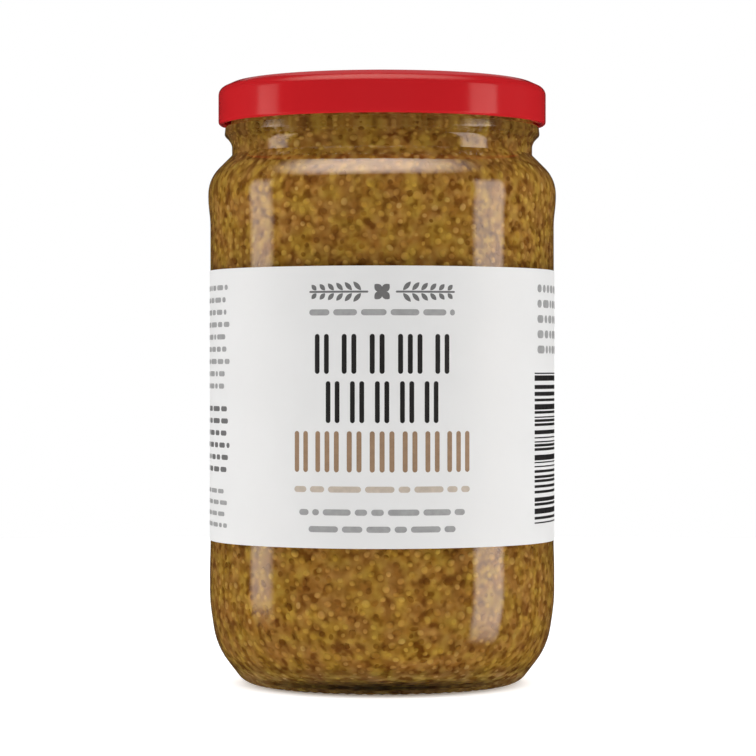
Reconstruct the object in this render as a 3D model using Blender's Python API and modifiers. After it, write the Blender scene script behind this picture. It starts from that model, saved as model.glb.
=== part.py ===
"""A sealed glass jar of wholegrain mustard, modelled at its real size.

Four pieces make it: a moulded flint glass jar with a twist-off finish, the mustard that fills it,
a pressed tinplate twist-off lid with a rolled hem, and a wrap-round paper label. The jar stands on
the origin with +Z up, and the front of the label faces -Y. Every length is in metres.
"""

import math
import random

import bmesh
import bpy
from mathutils import Matrix, Vector

MM = 0.001
FACETS = 48  # flat sides round every turned piece, so that all of them line up
STEP_ANGLE = math.tau / FACETS
CLEARANCE = 0.3 * MM  # between pieces that touch in the real jar

# Glass jar, from its foot up
BODY_RADIUS = 45.05 * MM
PANEL_RADIUS = 44.9 * MM  # the label sits in this shallow recess
BUMPER_RADIUS = 45.45 * MM  # the roll under the shoulder, which takes the knocks
BORE_RADIUS = 42.3 * MM  # inside of the body, with a wall of 2.75 mm
PANEL_BOTTOM = 33.0 * MM
PANEL_TOP = 122.0 * MM
BUMPER_BOTTOM = 123.6 * MM

TAPER_HEIGHT = 21.1 * MM  # where the wall starts to lean in
TAPER_ROUNDING = 39.0 * MM
HEEL_CORNER = (43.27 * MM, 9.5 * MM)  # where the leaning wall and the heel would meet as straight lines
HEEL_ROUNDING = 19.3 * MM
FOOT_CORNER_RADIUS = 35.9 * MM
FOOT_ROUNDING = 5.7 * MM
BEARING_INNER_RADIUS = 31.6 * MM  # inner edge of the flat ring that the jar stands on
PUNT_HEIGHT = 3.4 * MM  # how far the underside is pushed up at its centre
FLOOR_HEIGHT = 7.4 * MM
FLOOR_EDGE_HEIGHT = 5.0 * MM
INNER_HEEL_RADIUS = 14.0 * MM

SHOULDER_SUM = 176.83 * MM  # radius plus height along the outer 45 degree shoulder
SHOULDER_ROUNDING = 8.4 * MM
INNER_SHOULDER_SUM = 172.37 * MM
INNER_SHOULDER_ROUNDING = 5.25 * MM
NECK_RADIUS = 39.25 * MM
NECK_FILLET = 2.0 * MM
MOUTH_RADIUS = 36.9 * MM
INNER_NECK_FILLET = 4.0 * MM

BEAD_RADIUS = 41.1 * MM  # the ring that shows just under the cap
BEAD_BOTTOM_SUM = 102.0 * MM  # height less radius along the bead's sloping underside
BEAD_TOP = 145.1 * MM
FINISH_RADIUS = 39.6 * MM
RIM_HEIGHT = 155.9 * MM

# Thread starts on the finish, and the cap's lugs that catch under them
STARTS = 6
THREAD_RADIUS = 41.0 * MM
THREAD_THICKNESS = 1.7 * MM
THREAD_SPAN = math.radians(42)
THREAD_LOW = 148.6 * MM
THREAD_HIGH = 150.0 * MM
LUG_RADIUS = 40.3 * MM
LUG_THICKNESS = 1.5 * MM
LUG_SPAN = math.radians(13)
BEAD_STEPS = 6

# Lid
LID_RADIUS = 42.8 * MM
LID_TOP = 156.5 * MM
LID_BOTTOM = 145.5 * MM
LID_ROUNDING = 2.5 * MM
SHEET_THICKNESS = 0.3 * MM
HEM_RADIUS = 0.8 * MM
HEM_ANGLES = (-45, -90, -150, -210)  # in degrees, round and inwards from the foot of the skirt
PANEL_RING_RADIUS = 35.2 * MM  # inner edge of the raised ring over the rim
PANEL_DROP = 0.8 * MM
BUTTON_RADIUS = 13.0 * MM  # the vacuum button, drawn down while the jar is sealed
BUTTON_DROP = 0.45 * MM
STEP_RUN = 1.3 * MM  # how far each pressed step slopes

# Label
LABEL_BOTTOM = 37.3 * MM
LABEL_TOP = 107.4 * MM
LABEL_THICKNESS = 0.15 * MM
LABEL_GAP = 0.2 * MM
LABEL_FACETS = 42  # 315 degrees of wrap
OPEN_STRIP = (FACETS - LABEL_FACETS) * STEP_ANGLE  # where its ends don't meet, at the back of the jar

# Mustard
FILL_HEIGHT = 147.8 * MM
FILL_DOME = 0.7 * MM  # how much higher the fill stands at its centre
SEED_PROUD = 0.7 * MM  # how far the seeds stand out of the paste
SEED_RADII = (1.05 * MM, 1.3 * MM)
SEED_PLACES = 240  # spread evenly up the whole side, and left empty behind the label
SEED_HEIGHTS = (9.0 * MM, 143.5 * MM)
SEED_MARGIN = 1.0 * MM  # seeds keep this clear of the label's edges
GOLDEN_ANGLE = math.pi * (3 - math.sqrt(5))


def clear_scene():
    for obj in list(bpy.data.objects):
        bpy.data.objects.remove(obj)


def collection(name):
    made = bpy.data.collections.new(name)
    bpy.context.scene.collection.children.link(made)
    return made


def material(name, colour, roughness, metallic=0.0, transmission=0.0):
    made = bpy.data.materials.new(name)
    made.use_nodes = True
    shader = made.node_tree.nodes["Principled BSDF"]
    shader.inputs["Base Color"].default_value = (*colour, 1.0)
    shader.inputs["Roughness"].default_value = roughness
    shader.inputs["Metallic"].default_value = metallic
    shader.inputs["Transmission Weight"].default_value = transmission
    return made


def rounded(corners):
    """A profile through (radius, height) corners, those with (rounding, steps) after them as arcs."""
    points = [Vector(corners[0][:2])]
    for before, here, after in zip(corners, corners[1:], corners[2:]):
        corner = Vector(here[:2])
        if len(here) == 2:
            points.append(corner)
            continue
        rounding, steps = here[2:]
        back = (Vector(before[:2]) - corner).normalized()
        ahead = (Vector(after[:2]) - corner).normalized()
        half_angle = back.angle(ahead) / 2
        centre = corner + (back + ahead).normalized() * rounding / math.sin(half_angle)
        start = corner + back * rounding / math.tan(half_angle) - centre
        turn = start.angle_signed(corner + ahead * rounding / math.tan(half_angle) - centre)
        for step in range(steps + 1):
            points.append(centre + Matrix.Rotation(-turn * step / steps, 2) @ start)
    points.append(Vector(corners[-1][:2]))
    return points


def turned(name, profile, group, steps=FACETS, start_angle=0.0):
    """A profile swept round the Z axis by a Screw modifier, through one turn or fewer steps of one."""
    mesh = bpy.data.meshes.new(name)
    edges = [(i, i + 1) for i in range(len(profile) - 1)]
    mesh.from_pydata([(radius, 0.0, height) for radius, height in profile], edges, [])
    obj = bpy.data.objects.new(name, mesh)
    group.objects.link(obj)
    obj.rotation_euler.z = start_angle
    screw = obj.modifiers.new("turn", "SCREW")
    screw.angle = steps * STEP_ANGLE
    screw.steps = screw.render_steps = steps
    screw.use_merge_vertices = steps == FACETS
    screw.merge_threshold = 0.01 * MM
    screw.use_smooth_shade = True
    return obj


def solidified(obj, thickness):
    """Gives an open turned surface the thickness of its sheet, inwards from the surface that shows."""
    wall = obj.modifiers.new("sheet", "SOLIDIFY")
    wall.thickness = thickness
    wall.offset = -1.0
    wall.use_even_offset = True
    return obj


def made_mesh(obj):
    """Replaces obj by a mesh object of its evaluated shape, with a curve's caps welded on."""
    bpy.context.view_layer.update()
    evaluated = obj.evaluated_get(bpy.context.evaluated_depsgraph_get())
    mesh = bpy.data.meshes.new_from_object(evaluated)
    welder = bmesh.new()
    welder.from_mesh(mesh)
    bmesh.ops.remove_doubles(welder, verts=welder.verts, dist=0.001 * MM)
    bmesh.ops.recalc_face_normals(welder, faces=welder.faces)
    welder.to_mesh(mesh)
    welder.free()
    mesh.shade_smooth()
    mesh.set_sharp_from_angle(angle=math.radians(28))
    name, group = obj.name, obj.users_collection[0]
    matrix = obj.matrix_world.copy()
    bpy.data.objects.remove(obj)
    made = bpy.data.objects.new(name, mesh)
    made.matrix_world = matrix
    group.objects.link(made)
    return made


def joined(base, pieces):
    """One Boolean union of base with a whole collection, which is removed afterwards."""
    union = base.modifiers.new("union", "BOOLEAN")
    union.operation = "UNION"
    union.operand_type = "COLLECTION"
    union.collection = pieces
    union.solver = "EXACT"
    whole = made_mesh(base)
    for obj in list(pieces.objects):
        bpy.data.objects.remove(obj)
    bpy.data.collections.remove(pieces)
    return whole


def arc_bead(name, group, outer_radius, thickness, rise, span, middle_angle):
    """A round bead on an arc about the jar's axis, rising from low to high, with ends that taper away."""
    curve = bpy.data.curves.new(name, "CURVE")
    curve.dimensions = "3D"
    curve.bevel_depth = thickness / 2
    curve.bevel_resolution = 1
    curve.use_fill_caps = True
    spline = curve.splines.new("POLY")
    spline.points.add(BEAD_STEPS)
    path_radius = outer_radius - thickness / 2
    for i, point in enumerate(spline.points):
        share = i / BEAD_STEPS
        angle = middle_angle + span * (share - 0.5)
        height = rise[0] + (rise[1] - rise[0]) * share
        point.co = (path_radius * math.cos(angle), path_radius * math.sin(angle), height, 1.0)
        point.radius = 0.55 if i in (0, BEAD_STEPS) else 1.0
    obj = bpy.data.objects.new(name, curve)
    group.objects.link(obj)
    return made_mesh(obj)


def glass_profile():
    """The jar's wall in section: up inside from the middle of its floor, over the rim and down outside."""
    return rounded([
        (0.0, FLOOR_HEIGHT),
        (BORE_RADIUS, FLOOR_EDGE_HEIGHT, INNER_HEEL_RADIUS, 4),
        (BORE_RADIUS, INNER_SHOULDER_SUM - BORE_RADIUS, INNER_SHOULDER_ROUNDING, 3),
        (MOUTH_RADIUS, INNER_SHOULDER_SUM - MOUTH_RADIUS, INNER_NECK_FILLET, 2),
        (MOUTH_RADIUS, RIM_HEIGHT, 0.9 * MM, 1),
        (FINISH_RADIUS, RIM_HEIGHT, 1.2 * MM, 2),
        (FINISH_RADIUS, BEAD_TOP),
        (BEAD_RADIUS, BEAD_TOP, 0.5 * MM, 1),
        (BEAD_RADIUS, BEAD_BOTTOM_SUM + BEAD_RADIUS, 0.9 * MM, 1),
        (NECK_RADIUS, BEAD_BOTTOM_SUM + NECK_RADIUS),
        (NECK_RADIUS, SHOULDER_SUM - NECK_RADIUS, NECK_FILLET, 2),
        (BUMPER_RADIUS, SHOULDER_SUM - BUMPER_RADIUS, SHOULDER_ROUNDING, 4),
        (BUMPER_RADIUS, BUMPER_BOTTOM),
        (PANEL_RADIUS, PANEL_TOP),
        (PANEL_RADIUS, PANEL_BOTTOM),
        (BODY_RADIUS, PANEL_BOTTOM - 2.0 * MM),
        (BODY_RADIUS, TAPER_HEIGHT, TAPER_ROUNDING, 1),
        (*HEEL_CORNER, HEEL_ROUNDING, 3),
        (FOOT_CORNER_RADIUS, 0.0, FOOT_ROUNDING, 3),
        (BEARING_INNER_RADIUS, 0.0),
        (BEARING_INNER_RADIUS - 2.4 * MM, PUNT_HEIGHT / 3),
        (0.0, PUNT_HEIGHT),
    ])


def jar_glass(group):
    jar = turned("jar_glass", glass_profile(), group)
    threads = collection("threads")
    rise = (THREAD_LOW, THREAD_HIGH)
    for i in range(STARTS):
        middle = math.tau * i / STARTS
        arc_bead("thread", threads, THREAD_RADIUS, THREAD_THICKNESS, rise, THREAD_SPAN, middle)
    jar = joined(jar, threads)
    jar.data.materials.append(material("flint glass", (0.93, 0.96, 0.93), 0.02, transmission=1.0))
    return jar


def lid_profile():
    """The pressed sheet's outer face in section, from the button out, down the skirt and into the hem."""
    panel = LID_TOP - PANEL_DROP
    face = rounded([
        (0.0, panel - BUTTON_DROP),
        (BUTTON_RADIUS - STEP_RUN, panel - BUTTON_DROP),
        (BUTTON_RADIUS, panel),
        (PANEL_RING_RADIUS - STEP_RUN, panel),
        (PANEL_RING_RADIUS, LID_TOP, 0.8 * MM, 1),
        (LID_RADIUS, LID_TOP, LID_ROUNDING, 3),
        (LID_RADIUS, LID_BOTTOM + HEM_RADIUS),
    ])
    hem_centre = Vector((LID_RADIUS - HEM_RADIUS, LID_BOTTOM + HEM_RADIUS))
    hem = [Matrix.Rotation(math.radians(angle), 2) @ Vector((HEM_RADIUS, 0.0)) for angle in HEM_ANGLES]
    return face + [hem_centre + point for point in hem]


def lid(group):
    sheet = made_mesh(solidified(turned("lid", lid_profile(), group), SHEET_THICKNESS))
    lugs = collection("lugs")
    height = LID_BOTTOM + HEM_RADIUS + 0.1 * MM
    for i in range(STARTS):
        middle = math.tau * (i + 0.25) / STARTS
        arc_bead("lug", lugs, LUG_RADIUS + LUG_THICKNESS, LUG_THICKNESS, (height, height), LUG_SPAN, middle)
    sheet = joined(sheet, lugs)
    sheet.data.materials.append(material("red lacquered tinplate", (0.50, 0.014, 0.018), 0.22))
    return sheet


def label(group):
    outer_radius = PANEL_RADIUS + LABEL_GAP + LABEL_THICKNESS
    edge = [Vector((outer_radius, LABEL_TOP)), Vector((outer_radius, LABEL_BOTTOM))]
    start_angle = math.pi / 2 + OPEN_STRIP / 2
    paper = made_mesh(solidified(turned("label", edge, group, LABEL_FACETS, start_angle), LABEL_THICKNESS))
    paper.data.materials.append(material("white label paper", (0.83, 0.83, 0.82), 0.55))
    return paper


def paste_profile():
    """The mustard's section, inside the glass by the clearance and by how far its seeds stand out."""
    inset = CLEARANCE + SEED_PROUD
    edge_radius = MOUTH_RADIUS - inset
    body_radius = BORE_RADIUS - inset
    slope_sum = INNER_SHOULDER_SUM - inset * math.sqrt(2)
    return rounded([
        (0.0, FILL_HEIGHT + FILL_DOME),
        (edge_radius, FILL_HEIGHT, 0.8 * MM, 1),
        (edge_radius, slope_sum - edge_radius, INNER_NECK_FILLET + inset, 2),
        (body_radius, slope_sum - body_radius, INNER_SHOULDER_ROUNDING - inset, 3),
        (body_radius, FLOOR_EDGE_HEIGHT + inset, INNER_HEEL_RADIUS - inset, 4),
        (0.0, FLOOR_HEIGHT + inset),
    ])


def wall_point(profile, height):
    """The middle of a facet of the side at a height and the way out there, as (radius, height)."""
    for upper, lower in zip(profile[1:], profile[2:]):
        if lower.y < height <= upper.y:
            share = (upper.y - height) / (upper.y - lower.y)
            run = lower - upper
            radius = (upper.x + run.x * share) * math.cos(STEP_ANGLE / 2)
            return Vector((radius, height)), Vector((-run.y, run.x)).normalized()
    raise ValueError(f"the profile has no side at {height}")


def behind_label(height, angle):
    """Whether the label covers this place on the jar's side, or comes within the margin of it."""
    off_back = abs((angle - math.pi / 2 + math.pi) % math.tau - math.pi)
    in_strip = off_back < OPEN_STRIP / 2 - SEED_MARGIN / PANEL_RADIUS
    return LABEL_BOTTOM - SEED_MARGIN < height < LABEL_TOP + SEED_MARGIN and not in_strip


def seed(group, place, outward, radius, draw):
    """One mustard seed, a slightly uneven ball, its outermost point SEED_PROUD out of the paste."""
    ball = bmesh.new()
    bmesh.ops.create_icosphere(ball, subdivisions=1, radius=radius)
    squash = Matrix.Diagonal((1.0, draw.uniform(0.9, 1.0), draw.uniform(0.84, 0.95), 1.0))
    turn = Matrix.Rotation(draw.uniform(0, math.tau), 4, Vector((draw.random(), draw.random(), 1.0)))
    centre = place - outward * (radius - SEED_PROUD)
    bmesh.ops.transform(ball, matrix=Matrix.Translation(centre) @ turn @ squash, verts=ball.verts)
    mesh = bpy.data.meshes.new("seed")
    ball.to_mesh(mesh)
    ball.free()
    group.objects.link(bpy.data.objects.new("seed", mesh))


def mustard(group):
    profile = paste_profile()
    paste = made_mesh(turned("mustard", profile, group))
    seeds = collection("seeds")
    draw = random.Random(7)
    for i in range(SEED_PLACES):
        height = SEED_HEIGHTS[0] + (SEED_HEIGHTS[1] - SEED_HEIGHTS[0]) * i / (SEED_PLACES - 1)
        angle = i * GOLDEN_ANGLE
        if behind_label(height, angle):
            continue
        side, outward = wall_point(profile, height)
        place = Vector((side.x * math.cos(angle), side.x * math.sin(angle), side.y))
        away = Vector((outward.x * math.cos(angle), outward.x * math.sin(angle), outward.y))
        seed(seeds, place, away, draw.uniform(*SEED_RADII), draw)
    fill = joined(paste, seeds)
    fill.data.materials.append(material("wholegrain mustard", (0.26, 0.13, 0.025), 0.6))
    return fill


def main():
    clear_scene()
    group = collection("mustard_jar")
    jar_glass(group)
    mustard(group)
    lid(group)
    label(group)


main()
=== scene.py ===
import math
import random

import bmesh
import bpy
import numpy as np
from mathutils import Matrix, Vector, noise


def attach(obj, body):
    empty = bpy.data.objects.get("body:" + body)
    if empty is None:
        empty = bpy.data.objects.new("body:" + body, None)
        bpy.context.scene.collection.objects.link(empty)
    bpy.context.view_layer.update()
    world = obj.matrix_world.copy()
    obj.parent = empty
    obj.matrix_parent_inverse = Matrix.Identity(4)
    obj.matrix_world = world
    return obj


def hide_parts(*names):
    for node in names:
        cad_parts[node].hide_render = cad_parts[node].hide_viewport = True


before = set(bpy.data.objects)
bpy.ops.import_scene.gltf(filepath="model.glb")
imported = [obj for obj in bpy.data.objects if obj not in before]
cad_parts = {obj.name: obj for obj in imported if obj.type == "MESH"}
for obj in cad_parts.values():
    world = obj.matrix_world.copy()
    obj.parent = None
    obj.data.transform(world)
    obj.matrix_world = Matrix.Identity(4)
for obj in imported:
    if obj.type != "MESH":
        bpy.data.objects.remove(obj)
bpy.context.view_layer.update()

# The jar itself: clear flint glass, blown in a two-part mould. The wall is a little uneven, two
# fine seams run up its sides, the ring that it stands on is knurled, and six thread starts are
# moulded on the finish for the lid.

MM = 0.001
BODY_RADIUS = 45.05 * MM
PANEL_RADIUS = 44.9 * MM
BUMPER_RADIUS = 45.45 * MM
BORE_RADIUS = 42.3 * MM
MOUTH_RADIUS = 36.9 * MM
NECK_RADIUS = 39.25 * MM
BEAD_RADIUS = 41.1 * MM
FINISH_RADIUS = 39.6 * MM
RIM_HEIGHT = 155.9 * MM
BEAD_TOP = 145.1 * MM
SHOULDER_SUM = 176.83 * MM  # radius plus height along the 45 degree shoulder
INNER_SHOULDER_SUM = 172.37 * MM
BEAD_SLOPE_DIFFERENCE = 101.6 * MM  # height less radius along the slope under the bead
BEAD_FOOT = 142.85 * MM
BUMPER_FOOT = 125.2 * MM
PANEL_TOP = 120.4 * MM
PANEL_FOOT = 36.0 * MM
BODY_TOP = 30.0 * MM
HEEL_TOP = 21.1 * MM
HEEL_KNEE = (43.27 * MM, 9.5 * MM)
FLOOR_HEIGHT = 7.4 * MM
FLOOR_EDGE_HEIGHT = 5.0 * MM
INNER_HEEL_RADIUS = 14.0 * MM
INNER_SHOULDER_ROUNDING = 5.25 * MM
INNER_NECK_FILLET = 4.0 * MM
FOOT_CORNER_RADIUS = 35.9 * MM
BEARING_INNER_RADIUS = 31.6 * MM
PUNT_HEIGHT = 3.4 * MM
ARC_STEP = math.radians(5)  # how finely a turned profile follows its rounded corners
WAYS_ROUND = 240


def rounded(corners):
    """A profile through (radius, height) corners. Those with a third value are rounded to that radius."""
    points = [Vector(corners[0][:2])]
    for before, here, after in zip(corners, corners[1:], corners[2:]):
        corner = Vector(here[:2])
        if len(here) == 2:
            points.append(corner)
            continue
        back = (Vector(before[:2]) - corner).normalized()
        ahead = (Vector(after[:2]) - corner).normalized()
        half_angle = back.angle(ahead) / 2
        centre = corner + (back + ahead).normalized() * here[2] / math.sin(half_angle)
        start = corner + back * here[2] / math.tan(half_angle) - centre
        turn = start.angle_signed(corner + ahead * here[2] / math.tan(half_angle) - centre)
        steps = max(2, math.ceil(abs(turn) / ARC_STEP))
        for step in range(steps + 1):
            points.append(centre + Matrix.Rotation(-turn * step / steps, 2) @ start)
    points.append(Vector(corners[-1][:2]))
    return points


def divided(points, longest):
    """The same profile with no stretch longer than this."""
    fine = [Vector(points[0])]
    for start, end in zip(points, points[1:]):
        parts = max(1, math.ceil((end - start).length / longest - 1e-6))
        fine += [start.lerp(end, part / parts) for part in range(1, parts + 1)]
    return fine


def ways_out(points):
    """The outward direction at each point of a profile that runs down its outer side."""
    places = np.array(points)
    runs = np.gradient(places, axis=0)
    outward = np.stack([-runs[:, 1], runs[:, 0]], axis=1)
    return outward / np.linalg.norm(outward, axis=1)[:, None]


def grid_mesh(name, grid, sharp=35):
    """A mesh through rows and columns of points. Rows that meet at a pole or a seam are welded."""
    rows, columns = grid.shape[:2]
    corner = np.arange(rows * columns).reshape(rows, columns)
    faces = np.stack([corner[:-1, :-1], corner[1:, :-1], corner[1:, 1:], corner[:-1, 1:]], axis=2)
    mesh = bpy.data.meshes.new(name)
    mesh.from_pydata(grid.reshape(-1, 3).tolist(), [], faces.reshape(-1, 4).tolist())
    welder = bmesh.new()
    welder.from_mesh(mesh)
    bmesh.ops.remove_doubles(welder, verts=welder.verts, dist=0.0005 * MM)
    welder.to_mesh(mesh)
    welder.free()
    mesh.shade_smooth()
    mesh.set_sharp_from_angle(angle=math.radians(sharp))
    return mesh


def turned(name, points, angles, relief=None):
    """A profile turned about the jar's axis. relief gives how far each point moves out of its surface."""
    places, outward = np.array(points), ways_out(points)
    lift = np.zeros((len(points), len(angles)))
    if relief is not None:
        lift = relief(places[:, 0][:, None], places[:, 1][:, None], outward, angles[None, :])
    on_axis = places[:, 0] == 0.0  # these rows close to one point
    lift[on_axis] = lift[on_axis].mean(axis=1, keepdims=True)
    outward[on_axis, 0] = 0.0
    radius = places[:, 0][:, None] + lift * outward[:, 0][:, None]
    height = places[:, 1][:, None] + lift * outward[:, 1][:, None]
    return grid_mesh(name, np.stack([radius * np.cos(angles), radius * np.sin(angles), height], axis=2))


def all_round(extra=()):
    """Angles for a whole turn, both ends included, with finer ones added at seams."""
    return np.array(sorted({*np.linspace(0, math.tau, WAYS_ROUND + 1), *extra}))


def finish(name, base, roughness, **fixed):
    """A material and its node tree and Principled shader, with the plain values that don't vary."""
    material = bpy.data.materials.new(name)
    material.use_nodes = True
    tree = material.node_tree
    shader = tree.nodes["Principled BSDF"]
    shader.inputs["Base Color"].default_value = (*base, 1.0)
    shader.inputs["Roughness"].default_value = roughness
    for socket, value in fixed.items():
        shader.inputs[socket.replace("_", " ")].default_value = value
    return material, tree, shader


def node(tree, kind, inputs=None, **settings):
    """A new node with its settings, and its inputs set to values or linked to other nodes' outputs."""
    made = tree.nodes.new(kind)
    for name, value in settings.items():
        setattr(made, name, value)
    for name, value in (inputs or {}).items():
        if isinstance(value, bpy.types.NodeSocket):
            tree.links.new(value, made.inputs[name])
        else:
            made.inputs[name].default_value = value
    return made


def dressed(tree, shader, **varying):
    """Links the values of a finish that vary over the surface to its shader."""
    for socket, source in varying.items():
        tree.links.new(source, shader.inputs[socket.replace("_", " ")])


def reckoned(tree, operation, *values):
    """The result of one sum on values or on other nodes' outputs."""
    return node(tree, "ShaderNodeMath", dict(enumerate(values)), operation=operation).outputs[0]


def stretched(tree, value, low, high, start=0.0, end=1.0, **settings):
    """A value that goes from start to end while another one goes from low to high, and no further."""
    limits = {"Value": value, "From Min": low, "From Max": high, "To Min": start, "To Max": end}
    return node(tree, "ShaderNodeMapRange", limits, **settings).outputs[0]


def mixed(tree, factor, first, second):
    """The first shader where the factor is 0, and the second where it is 1."""
    return node(tree, "ShaderNodeMixShader", {0: factor, 1: first, 2: second}).outputs[0]


def effect(name, inputs, outputs):
    """A shader node group with named inputs, with their defaults, and outputs: its tree and both ends."""
    group = bpy.data.node_groups.new(name, "ShaderNodeTree")
    for socket, value in inputs.items():
        kind = "NodeSocketVector" if socket == "Normal" else "NodeSocketFloat"
        made = group.interface.new_socket(socket, in_out="INPUT", socket_type=kind)
        if kind == "NodeSocketFloat":
            made.default_value = value
        else:
            made.hide_value = True
    for socket, kind in outputs.items():
        group.interface.new_socket(socket, in_out="OUTPUT", socket_type=kind)
    return group, group.nodes.new("NodeGroupInput"), group.nodes.new("NodeGroupOutput")


def drift_effect():
    """A value that wanders slowly over a surface between two limits."""
    group, start, end = effect(
        "drift", {"Scale": 50.0, "Detail": 2.0, "From": 0.0, "To": 1.0}, {"Value": "NodeSocketFloat"}
    )
    place = node(group, "ShaderNodeTexCoord").outputs["Object"]
    cloud = {"Vector": place, "Scale": start.outputs["Scale"], "Detail": start.outputs["Detail"]}
    cloud = node(group, "ShaderNodeTexNoise", cloud).outputs["Fac"]
    drifted = stretched(group, cloud, 0.3, 0.7, start.outputs["From"], start.outputs["To"])
    group.links.new(drifted, end.inputs["Value"])
    return group


def tooth_effect():
    """A fine unevenness of a surface, as a normal."""
    group, start, end = effect(
        "surface tooth", {"Scale": 500.0, "Depth": 0.0001, "Normal": None}, {"Normal": "NodeSocketVector"}
    )
    place = node(group, "ShaderNodeTexCoord").outputs["Object"]
    cloud = {"Vector": place, "Scale": start.outputs["Scale"], "Detail": 3.0}
    cloud = node(group, "ShaderNodeTexNoise", cloud).outputs["Fac"]
    bump = {"Height": cloud, "Distance": start.outputs["Depth"], "Normal": start.outputs["Normal"]}
    bump = node(group, "ShaderNodeBump", bump).outputs["Normal"]
    group.links.new(bump, end.inputs["Normal"])
    return group


DRIFT = drift_effect()
TOOTH = tooth_effect()


def placed(tree, group, **values):
    """A node that places a shared effect in a material with its own values."""
    return node(tree, "ShaderNodeGroup", values, node_tree=group).outputs[0]


def piece(name, mesh, material, slot, *replaced):
    """One visible piece on the jar, in place of the solids that it stands for."""
    obj = bpy.data.objects.new(name, mesh)
    bpy.context.scene.collection.objects.link(obj)
    mesh.materials.append(material)
    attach(obj, "root")
    if replaced:
        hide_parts(*replaced)
    return obj


INSIDE_WALL = [
    (0.0, FLOOR_HEIGHT),
    (BORE_RADIUS, FLOOR_EDGE_HEIGHT, INNER_HEEL_RADIUS),
    (BORE_RADIUS, INNER_SHOULDER_SUM - BORE_RADIUS, INNER_SHOULDER_ROUNDING),
    (MOUTH_RADIUS, INNER_SHOULDER_SUM - MOUTH_RADIUS, INNER_NECK_FILLET),
]
OUTSIDE_WALL = [
    (FINISH_RADIUS, RIM_HEIGHT, 1.2 * MM),
    (FINISH_RADIUS, BEAD_TOP, 0.3 * MM),
    (BEAD_RADIUS - 0.15 * MM, BEAD_TOP, 0.5 * MM),
    (BEAD_RADIUS + 0.12 * MM, BEAD_FOOT, 1.1 * MM),
    (NECK_RADIUS, BEAD_SLOPE_DIFFERENCE + NECK_RADIUS, 3.4 * MM),
    (NECK_RADIUS, SHOULDER_SUM - NECK_RADIUS),
    (BUMPER_RADIUS, SHOULDER_SUM - BUMPER_RADIUS, 9.5 * MM),
    (BUMPER_RADIUS, BUMPER_FOOT, 24.0 * MM),
    (PANEL_RADIUS, PANEL_TOP, 24.0 * MM),
    (PANEL_RADIUS, PANEL_FOOT, 90.0 * MM),
    (BODY_RADIUS, BODY_TOP, 90.0 * MM),
    (BODY_RADIUS, HEEL_TOP, 39.0 * MM),
    (*HEEL_KNEE, 19.3 * MM),
    (FOOT_CORNER_RADIUS, 0.0, 5.7 * MM),
    (BEARING_INNER_RADIUS, 0.0, 0.4 * MM),
    (BEARING_INNER_RADIUS - 2.4 * MM, PUNT_HEIGHT / 3, 2.0 * MM),
    (0.0, PUNT_HEIGHT),
]
THREADS_TOP = (FINISH_RADIUS, RIM_HEIGHT - 2.0 * MM)
BEAD_FACE = (BEAD_RADIUS - 0.07 * MM, 144.43 * MM)  # on the bead's slightly tapered side
THREAD_STARTS = 6
THREAD_SPAN = math.radians(42)
THREAD_FADE = math.radians(5)
THREAD_DEPTH = 1.4 * MM
THREAD_HALF_THICKNESS = 0.85 * MM
THREAD_MIDDLE = 149.3 * MM
THREAD_RISE = 1.4 * MM
KNURLS = 72  # short bars round the ring that the jar stands on
KNURL_DEPTH = 0.16 * MM
SEAM_HEIGHT = 0.05 * MM
SEAM_HALF_WIDTH = 0.3 * MM / BODY_RADIUS
SEAM_FOOT = 3.0 * MM
WAVE_HEIGHT = 0.018 * MM
WAVE_TOP = 143 * MM
WAVES = ((5, 90), (9, -150), (14, 260))  # how many go round the jar, and radians to a metre up it
DULL_FROM = 137 * MM  # the glass is a little duller from here up to the finish
DULL_WHOLLY = 142.5 * MM


def glass_relief(radius, height, outward, angle):
    """Thread starts on the finish, knurls under the foot, seams up both sides and a faint wave."""
    outside = (radius > FINISH_RADIUS - 0.2 * MM) & (outward[:, 0][:, None] > 0.3)
    start = np.mod(angle + math.pi / THREAD_STARTS, math.tau / THREAD_STARTS) - math.pi / THREAD_STARTS
    middle = THREAD_MIDDLE + THREAD_RISE * start / THREAD_SPAN
    across = np.clip(1 - ((height - middle) / THREAD_HALF_THICKNESS) ** 2, 0, 1)
    fade = np.clip((THREAD_SPAN / 2 - np.abs(start)) / THREAD_FADE, 0, 1)
    on_finish = outside & (height > BEAD_TOP + 1.0 * MM)
    lift = on_finish * THREAD_DEPTH * np.sqrt(across) * np.sqrt(fade)
    under_foot = (outward[:, 1][:, None] < -0.8) & (radius > BEARING_INNER_RADIUS) & (height < 1.0 * MM)
    lift = lift - under_foot * KNURL_DEPTH * (np.cos(KNURLS * angle) < 0)
    off_seam = np.abs(np.mod(angle + math.pi / 2, math.pi) - math.pi / 2) / SEAM_HALF_WIDTH
    on_body = outside & (height < BEAD_TOP) & (height > SEAM_FOOT)
    lift = lift + on_body * SEAM_HEIGHT * np.clip(1 - off_seam, 0, 1)
    wave = sum(np.sin(turns * angle + rise * height) for turns, rise in WAVES)
    return lift + on_body * WAVE_HEIGHT * wave / len(WAVES) * (height < WAVE_TOP)


seam_angles = [a + b * SEAM_HALF_WIDTH for a in (0, math.pi, math.tau) for b in (-1, -0.5, 0, 0.5, 1)]
inside_and_rim = [*INSIDE_WALL, (MOUTH_RADIUS, RIM_HEIGHT, 0.9 * MM), OUTSIDE_WALL[0], THREADS_TOP]
threads = [THREADS_TOP, *OUTSIDE_WALL[1:3], BEAD_FACE]
below_threads = [BEAD_FACE, *OUTSIDE_WALL[3:]]
glass_profile = []
for stretch, longest in ((inside_and_rim, 6.0 * MM), (threads, 0.25 * MM), (below_threads, 3.0 * MM)):
    glass_profile += divided(rounded(stretch), longest)
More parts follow.
